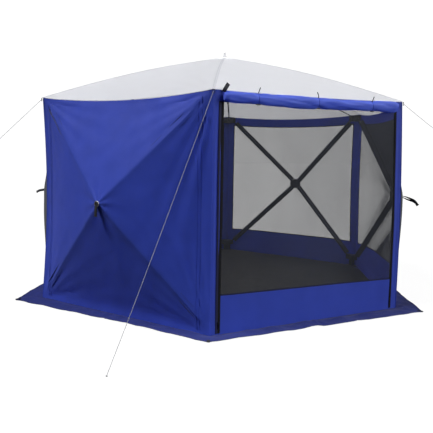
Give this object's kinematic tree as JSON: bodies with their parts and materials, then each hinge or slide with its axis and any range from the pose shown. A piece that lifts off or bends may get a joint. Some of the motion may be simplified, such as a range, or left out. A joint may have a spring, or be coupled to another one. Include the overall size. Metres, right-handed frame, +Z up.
{
  "type": "pop-up hub shelter",
  "caption": "Six-sided pop-up shelter with a peaked roof, crossed hub poles in its walls, screen walls, a zipped door, a ground skirt and guy ropes.",
  "frame": {"origin": "on the ground, at the centre of the six-sided floor", "axes": "+Z up; -Y out of the door wall; +X to the right of someone who faces the door"},
  "size_m": [4.4113, 3.8437, 2.345],
  "materials": {
    "blue_cloth": "coated woven polyester",
    "white_cloth": "coated woven polyester",
    "mesh_cloth": "fine insect mesh",
    "floor_cloth": "coarse woven sheet",
    "black_plastic": "fine moulded texture",
    "pole_fibre": "drawn glass fibre, satin",
    "zip_metal": "black enamel",
    "rope": "braided cord"
  },
  "bodies": {
    "root": {"wall_panel_right": "mesh_cloth", "wall_panel_back_right": "mesh_cloth", "wall_panel_back_left": "mesh_cloth", "wall_panel_left": "mesh_cloth", "wall_panel_front": "blue_cloth", "roof_canopy": "white_cloth", "top_corner_hub_1": "black_plastic", "bottom_corner_hub_1": "black_plastic", "top_corner_hub_2": "black_plastic", "bottom_corner_hub_2": "black_plastic", "top_corner_hub_3": "black_plastic", "bottom_corner_hub_3": "black_plastic", "top_corner_hub_4": "black_plastic", "bottom_corner_hub_4": "black_plastic", "top_corner_hub_5": "black_plastic", "bottom_corner_hub_5": "black_plastic", "top_corner_hub_6": "black_plastic", "bottom_corner_hub_6": "black_plastic", "door_surround": "blue_cloth", "door_panel": "mesh_cloth", "door_roll": "blue_cloth", "ground_skirt": "blue_cloth", "floor_sheet": "floor_cloth", "guy_rope_front": "rope", "guy_rope_left": "rope", "guy_rope_right": "rope"},
    "roof_hub": {"roof_hub": "black_plastic"},
    "roof_pole_1": {"roof_pole_1": "pole_fibre"},
    "roof_pole_2": {"roof_pole_2": "pole_fibre"},
    "roof_pole_3": {"roof_pole_3": "pole_fibre"},
    "roof_pole_4": {"roof_pole_4": "pole_fibre"},
    "roof_pole_5": {"roof_pole_5": "pole_fibre"},
    "roof_pole_6": {"roof_pole_6": "pole_fibre"},
    "wall_hub_right": {"wall_hub_right": "black_plastic"},
    "wall_pole_right_top_left": {"wall_pole_right_top_left": "pole_fibre"},
    "wall_pole_right_top_right": {"wall_pole_right_top_right": "pole_fibre"},
    "wall_pole_right_bottom_right": {"wall_pole_right_bottom_right": "pole_fibre"},
    "wall_pole_right_bottom_left": {"wall_pole_right_bottom_left": "pole_fibre"},
    "wall_hub_back_right": {"wall_hub_back_right": "black_plastic"},
    "wall_pole_back_right_top_left": {"wall_pole_back_right_top_left": "pole_fibre"},
    "wall_pole_back_right_top_right": {"wall_pole_back_right_top_right": "pole_fibre"},
    "wall_pole_back_right_bottom_right": {"wall_pole_back_right_bottom_right": "pole_fibre"},
    "wall_pole_back_right_bottom_left": {"wall_pole_back_right_bottom_left": "pole_fibre"},
    "wall_hub_back_left": {"wall_hub_back_left": "black_plastic"},
    "wall_pole_back_left_top_left": {"wall_pole_back_left_top_left": "pole_fibre"},
    "wall_pole_back_left_top_right": {"wall_pole_back_left_top_right": "pole_fibre"},
    "wall_pole_back_left_bottom_right": {"wall_pole_back_left_bottom_right": "pole_fibre"},
    "wall_pole_back_left_bottom_left": {"wall_pole_back_left_bottom_left": "pole_fibre"},
    "wall_hub_left": {"wall_hub_left": "black_plastic"},
    "wall_pole_left_top_left": {"wall_pole_left_top_left": "pole_fibre"},
    "wall_pole_left_top_right": {"wall_pole_left_top_right": "pole_fibre"},
    "wall_pole_left_bottom_right": {"wall_pole_left_bottom_right": "pole_fibre"},
    "wall_pole_left_bottom_left": {"wall_pole_left_bottom_left": "pole_fibre"},
    "wall_hub_front": {"wall_hub_front": "black_plastic"},
    "wall_pole_front_top_left": {"wall_pole_front_top_left": "pole_fibre"},
    "wall_pole_front_top_right": {"wall_pole_front_top_right": "pole_fibre"},
    "wall_pole_front_bottom_right": {"wall_pole_front_bottom_right": "pole_fibre"},
    "wall_pole_front_bottom_left": {"wall_pole_front_bottom_left": "pole_fibre"},
    "zip_slider_left": {"zip_slider_left": "zip_metal"},
    "zip_slider_right": {"zip_slider_right": "zip_metal"}
  },
  "joints": [
    {"name": "roof_hub_drop", "type": "slide", "parent": "root", "child": "roof_hub", "axis": [0, 0, 1], "range_m": [-0.914, 0], "deforming": ["roof_canopy"]},
    {"name": "roof_pole_1_hinge", "type": "hinge", "parent": "root", "child": "roof_pole_1", "pos_m": [-0.87, -1.50688, 1.758], "axis": [-1, 0, 0], "range_deg": [0, 33.74]},
    {"name": "roof_pole_2_hinge", "type": "hinge", "parent": "root", "child": "roof_pole_2", "pos_m": [0.87, -1.50688, 1.758], "axis": [-0.5, -0.866, 0], "range_deg": [0, 33.74]},
    {"name": "roof_pole_3_hinge", "type": "hinge", "parent": "root", "child": "roof_pole_3", "pos_m": [1.74, 0, 1.758], "axis": [0.5, -0.866, 0], "range_deg": [0, 33.74]},
    {"name": "roof_pole_4_hinge", "type": "hinge", "parent": "root", "child": "roof_pole_4", "pos_m": [0.87, 1.50688, 1.758], "axis": [1, 0, 0], "range_deg": [0, 33.74]},
    {"name": "roof_pole_5_hinge", "type": "hinge", "parent": "root", "child": "roof_pole_5", "pos_m": [-0.87, 1.50688, 1.758], "axis": [0.5, 0.866, 0], "range_deg": [0, 33.74]},
    {"name": "roof_pole_6_hinge", "type": "hinge", "parent": "root", "child": "roof_pole_6", "pos_m": [-1.74, 0, 1.758], "axis": [-0.5, 0.866, 0], "range_deg": [0, 33.74]},
    {"name": "wall_hub_right_push", "type": "slide", "parent": "root", "child": "wall_hub_right", "axis": [0.8659, -0.4999, 0.0192], "range_m": [-0.45, 0], "deforming": ["wall_panel_right"]},
    {"name": "wall_pole_right_top_left_hinge", "type": "hinge", "parent": "root", "child": "wall_pole_right_top_left", "pos_m": [0.91031, -1.47313, 1.74434], "axis": [0.5, 0.866, 0], "range_deg": [0, 31.1]},
    {"name": "wall_pole_right_top_right_hinge", "type": "hinge", "parent": "root", "child": "wall_pole_right_top_right", "pos_m": [1.73092, -0.05178, 1.74434], "axis": [0.0167, -0.0096, -0.9998], "range_deg": [0, 30.67]},
    {"name": "wall_pole_right_bottom_right_hinge", "type": "hinge", "parent": "root", "child": "wall_pole_right_bottom_right", "pos_m": [1.76725, -0.05178, 0.10931], "axis": [-0.5, -0.866, 0], "range_deg": [0, 30.45]},
    {"name": "wall_pole_right_bottom_left_hinge", "type": "hinge", "parent": "root", "child": "wall_pole_right_bottom_left", "pos_m": [0.92847, -1.50459, 0.10931], "axis": [-0.0167, 0.0096, 0.9998], "range_deg": [0, 30.03]},
    {"name": "wall_hub_back_right_push", "type": "slide", "parent": "root", "child": "wall_hub_back_right", "axis": [0.8659, 0.4999, 0.0192], "range_m": [-0.45, 0], "deforming": ["wall_panel_back_right"]},
    {"name": "wall_pole_back_right_top_left_hinge", "type": "hinge", "parent": "root", "child": "wall_pole_back_right_top_left", "pos_m": [1.73092, 0.05178, 1.74434], "axis": [-0.5, 0.866, 0], "range_deg": [0, 31.1]},
    {"name": "wall_pole_back_right_top_right_hinge", "type": "hinge", "parent": "root", "child": "wall_pole_back_right_top_right", "pos_m": [0.91031, 1.47313, 1.74434], "axis": [0.0167, 0.0096, -0.9998], "range_deg": [0, 30.67]},
    {"name": "wall_pole_back_right_bottom_right_hinge", "type": "hinge", "parent": "root", "child": "wall_pole_back_right_bottom_right", "pos_m": [0.92847, 1.50459, 0.10931], "axis": [0.5, -0.866, 0], "range_deg": [0, 30.45]},
    {"name": "wall_pole_back_right_bottom_left_hinge", "type": "hinge", "parent": "root", "child": "wall_pole_back_right_bottom_left", "pos_m": [1.76725, 0.05178, 0.10931], "axis": [-0.0167, -0.0096, 0.9998], "range_deg": [0, 30.03]},
    {"name": "wall_hub_back_left_push", "type": "slide", "parent": "root", "child": "wall_hub_back_left", "axis": [0, 0.9998, 0.0192], "range_m": [-0.45, 0], "deforming": ["wall_panel_back_left"]},
    {"name": "wall_pole_back_left_top_left_hinge", "type": "hinge", "parent": "root", "child": "wall_pole_back_left_top_left", "pos_m": [0.82061, 1.52491, 1.74434], "axis": [-1, 0, 0], "range_deg": [0, 31.1]},
    {"name": "wall_pole_back_left_top_right_hinge", "type": "hinge", "parent": "root", "child": "wall_pole_back_left_top_right", "pos_m": [-0.82061, 1.52491, 1.74434], "axis": [0, 0.0192, -0.9998], "range_deg": [0, 30.67]},
    {"name": "wall_pole_back_left_bottom_right_hinge", "type": "hinge", "parent": "root", "child": "wall_pole_back_left_bottom_right", "pos_m": [-0.83878, 1.55638, 0.10931], "axis": [1, 0, 0], "range_deg": [0, 30.45]},
    {"name": "wall_pole_back_left_bottom_left_hinge", "type": "hinge", "parent": "root", "child": "wall_pole_back_left_bottom_left", "pos_m": [0.83878, 1.55638, 0.10931], "axis": [0, -0.0192, 0.9998], "range_deg": [0, 30.03]},
    {"name": "wall_hub_left_push", "type": "slide", "parent": "root", "child": "wall_hub_left", "axis": [-0.8659, 0.4999, 0.0192], "range_m": [-0.45, 0], "deforming": ["wall_panel_left"]},
    {"name": "wall_pole_left_top_left_hinge", "type": "hinge", "parent": "root", "child": "wall_pole_left_top_left", "pos_m": [-0.91031, 1.47313, 1.74434], "axis": [-0.5, -0.866, 0], "range_deg": [0, 31.1]},
    {"name": "wall_pole_left_top_right_hinge", "type": "hinge", "parent": "root", "child": "wall_pole_left_top_right", "pos_m": [-1.73092, 0.05178, 1.74434], "axis": [-0.0167, 0.0096, -0.9998], "range_deg": [0, 30.67]},
    {"name": "wall_pole_left_bottom_right_hinge", "type": "hinge", "parent": "root", "child": "wall_pole_left_bottom_right", "pos_m": [-1.76725, 0.05178, 0.10931], "axis": [0.5, 0.866, 0], "range_deg": [0, 30.45]},
    {"name": "wall_pole_left_bottom_left_hinge", "type": "hinge", "parent": "root", "child": "wall_pole_left_bottom_left", "pos_m": [-0.92847, 1.50459, 0.10931], "axis": [0.0167, -0.0096, 0.9998], "range_deg": [0, 30.03]},
    {"name": "wall_hub_front_push", "type": "slide", "parent": "root", "child": "wall_hub_front", "axis": [-0.8659, -0.4999, 0.0192], "range_m": [-0.45, 0], "deforming": ["wall_panel_front"]},
    {"name": "wall_pole_front_top_left_hinge", "type": "hinge", "parent": "root", "child": "wall_pole_front_top_left", "pos_m": [-1.73092, -0.05178, 1.74434], "axis": [0.5, -0.866, 0], "range_deg": [0, 31.1]},
    {"name": "wall_pole_front_top_right_hinge", "type": "hinge", "parent": "root", "child": "wall_pole_front_top_right", "pos_m": [-0.91031, -1.47313, 1.74434], "axis": [-0.0167, -0.0096, -0.9998], "range_deg": [0, 30.67]},
    {"name": "wall_pole_front_bottom_right_hinge", "type": "hinge", "parent": "root", "child": "wall_pole_front_bottom_right", "pos_m": [-0.92847, -1.50459, 0.10931], "axis": [-0.5, 0.866, 0], "range_deg": [0, 30.45]},
    {"name": "wall_pole_front_bottom_left_hinge", "type": "hinge", "parent": "root", "child": "wall_pole_front_bottom_left", "pos_m": [-1.76725, -0.05178, 0.10931], "axis": [0.0167, 0.0096, 0.9998], "range_deg": [0, 30.03]},
    {"name": "zip_slider_left_run", "type": "slide", "parent": "root", "child": "zip_slider_left", "axis": [0.0111, 0.0192, 0.9998], "range_m": [0, 1.57833]},
    {"name": "zip_slider_right_run", "type": "slide", "parent": "root", "child": "zip_slider_right", "axis": [-0.0111, 0.0192, 0.9998], "range_m": [0, 1.57833]}
  ],
  "couplings": [
    {"joint": "roof_pole_1_hinge", "follows": "roof_hub_drop", "rad_per_m": -0.64433},
    {"joint": "roof_pole_2_hinge", "follows": "roof_hub_drop", "rad_per_m": -0.64433},
    {"joint": "roof_pole_3_hinge", "follows": "roof_hub_drop", "rad_per_m": -0.64433},
    {"joint": "roof_pole_4_hinge", "follows": "roof_hub_drop", "rad_per_m": -0.64433},
    {"joint": "roof_pole_5_hinge", "follows": "roof_hub_drop", "rad_per_m": -0.64433},
    {"joint": "roof_pole_6_hinge", "follows": "roof_hub_drop", "rad_per_m": -0.64433},
    {"joint": "wall_pole_right_top_left_hinge", "follows": "wall_hub_right_push", "rad_per_m": -1.206},
    {"joint": "wall_pole_right_top_right_hinge", "follows": "wall_hub_right_push", "rad_per_m": -1.1894},
    {"joint": "wall_pole_right_bottom_right_hinge", "follows": "wall_hub_right_push", "rad_per_m": -1.1811},
    {"joint": "wall_pole_right_bottom_left_hinge", "follows": "wall_hub_right_push", "rad_per_m": -1.1648},
    {"joint": "wall_pole_back_right_top_left_hinge", "follows": "wall_hub_back_right_push", "rad_per_m": -1.206},
    {"joint": "wall_pole_back_right_top_right_hinge", "follows": "wall_hub_back_right_push", "rad_per_m": -1.1894},
    {"joint": "wall_pole_back_right_bottom_right_hinge", "follows": "wall_hub_back_right_push", "rad_per_m": -1.1811},
    {"joint": "wall_pole_back_right_bottom_left_hinge", "follows": "wall_hub_back_right_push", "rad_per_m": -1.1648},
    {"joint": "wall_pole_back_left_top_left_hinge", "follows": "wall_hub_back_left_push", "rad_per_m": -1.206},
    {"joint": "wall_pole_back_left_top_right_hinge", "follows": "wall_hub_back_left_push", "rad_per_m": -1.1894},
    {"joint": "wall_pole_back_left_bottom_right_hinge", "follows": "wall_hub_back_left_push", "rad_per_m": -1.1811},
    {"joint": "wall_pole_back_left_bottom_left_hinge", "follows": "wall_hub_back_left_push", "rad_per_m": -1.1648},
    {"joint": "wall_pole_left_top_left_hinge", "follows": "wall_hub_left_push", "rad_per_m": -1.206},
    {"joint": "wall_pole_left_top_right_hinge", "follows": "wall_hub_left_push", "rad_per_m": -1.1894},
    {"joint": "wall_pole_left_bottom_right_hinge", "follows": "wall_hub_left_push", "rad_per_m": -1.1811},
    {"joint": "wall_pole_left_bottom_left_hinge", "follows": "wall_hub_left_push", "rad_per_m": -1.1648},
    {"joint": "wall_pole_front_top_left_hinge", "follows": "wall_hub_front_push", "rad_per_m": -1.206},
    {"joint": "wall_pole_front_top_right_hinge", "follows": "wall_hub_front_push", "rad_per_m": -1.1894},
    {"joint": "wall_pole_front_bottom_right_hinge", "follows": "wall_hub_front_push", "rad_per_m": -1.1811},
    {"joint": "wall_pole_front_bottom_left_hinge", "follows": "wall_hub_front_push", "rad_per_m": -1.1648}
  ]
}
